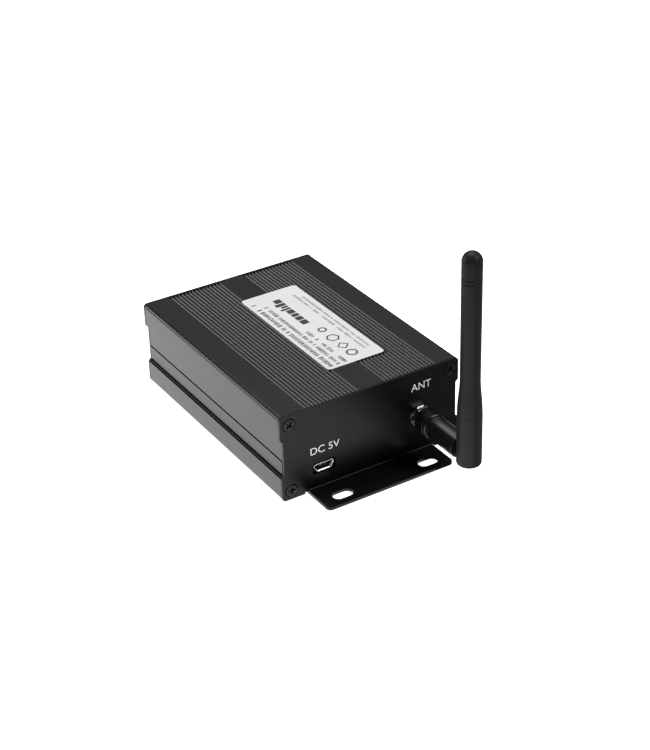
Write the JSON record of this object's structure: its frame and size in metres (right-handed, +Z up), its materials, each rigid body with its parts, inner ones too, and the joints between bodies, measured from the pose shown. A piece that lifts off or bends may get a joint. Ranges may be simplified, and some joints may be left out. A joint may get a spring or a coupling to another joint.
{
  "type": "wireless audio receiver",
  "caption": "Small extruded-aluminium desktop receiver box with a folding stub antenna, a USB power inlet and rear signal sockets.",
  "frame": {"origin": "centre of the underside of the extruded case, midway between the two end plates", "axes": "+Z up out of the top of the case, -Y towards the antenna end, +Y towards the end with the signal sockets, X across the case"},
  "size_m": [0.08, 0.1599, 0.0997],
  "materials": {
    "anodised_case": "black anodised extruded aluminium with a fine satin grain",
    "coated_sheet": "black satin coated folded sheet",
    "black_screw": "black oxide steel",
    "nickel": "bright nickel plate",
    "gold": "gold plate",
    "tin": "tin plated sheet",
    "black_plastic": "smooth moulded plastic",
    "soft_sleeve": "satin soft moulding",
    "white_plastic": "matte moulded nylon",
    "label_stock": "white printed film",
    "board_black": "black solder mask over laminate",
    "board_blue": "solder mask over laminate",
    "epoxy": "moulded package",
    "led_lens": "tinted clear lens",
    "copper": "bare copper",
    "grey_wire": "grey wire insulation"
  },
  "bodies": {
    "housing": {"lower_shell": "anodised_case", "upper_shell": "anodised_case", "front_plate": "coated_sheet", "rear_plate": "coated_sheet", "front_screw_1": "black_screw", "front_screw_2": "black_screw", "front_screw_3": "black_screw", "front_screw_4": "black_screw", "rear_screw_1": "black_screw", "rear_screw_2": "black_screw", "rear_screw_3": "black_screw", "rear_screw_4": "black_screw", "input_screw_1": "black_screw", "input_screw_2": "black_screw", "output_screw_1": "black_screw", "output_screw_2": "black_screw", "top_label": "label_stock", "circuit_board": "board_black", "radio_board": "board_blue", "usb_shell": "nickel", "lock_washer": "nickel", "panel_nut": "nickel", "input_shell": "nickel", "output_shell": "nickel", "button_nut": "nickel", "usb_insert": "black_plastic", "radio_header": "black_plastic", "input_insert": "black_plastic", "output_insert": "black_plastic", "button_body": "black_plastic", "led_bezel": "black_plastic", "microcontroller": "epoxy", "line_driver": "epoxy", "voltage_regulator": "epoxy", "crystal": "tin", "capacitor": "tin", "radio_shield": "tin", "antenna_jack": "gold", "jack_contact": "gold", "input_pin_1": "gold", "input_pin_2": "gold", "input_pin_3": "gold", "output_contact_1": "gold", "output_contact_2": "gold", "output_contact_3": "gold", "jack_insulator": "white_plastic", "input_header": "white_plastic", "output_header": "white_plastic", "status_led": "led_lens", "input_cable": "grey_wire", "output_cable": "grey_wire"},
    "coupling_nut": {"coupling_nut": "black_plastic"},
    "antenna_base": {"antenna_barrel": "black_plastic", "antenna_ferrule": "nickel", "hinge_pin": "nickel"},
    "antenna_whip": {"antenna_knuckle": "black_plastic", "antenna_sleeve": "soft_sleeve", "antenna_element": "copper"},
    "button_cap": {"button_cap": "black_plastic"},
    "output_latch": {"output_latch": "nickel"}
  },
  "joints": [
    {"name": "collar_spin", "type": "hinge", "parent": "housing", "child": "coupling_nut", "pos_m": [0.022, -0.0607, 0.0164], "axis": [0, 1, 0], "continuous": true},
    {"name": "antenna_swivel", "type": "hinge", "parent": "housing", "child": "antenna_base", "pos_m": [0.022, -0.0742, 0.0164], "axis": [0, 1, 0], "continuous": true},
    {"name": "antenna_tilt", "type": "hinge", "parent": "antenna_base", "child": "antenna_whip", "pos_m": [0.022, -0.0862, 0.0164], "axis": [1, 0, 0], "range_deg": [0, 90]},
    {"name": "button_press", "type": "slide", "parent": "housing", "child": "button_cap", "axis": [0, -1, 0], "range_m": [0, 0.001], "stiffness_N_per_m": 1500, "springref_m": -0.0003},
    {"name": "latch_release", "type": "slide", "parent": "housing", "child": "output_latch", "axis": [0, -1, 0], "range_m": [0, 0.0012], "stiffness_N_per_m": 1500, "springref_m": -0.0003}
  ]
}
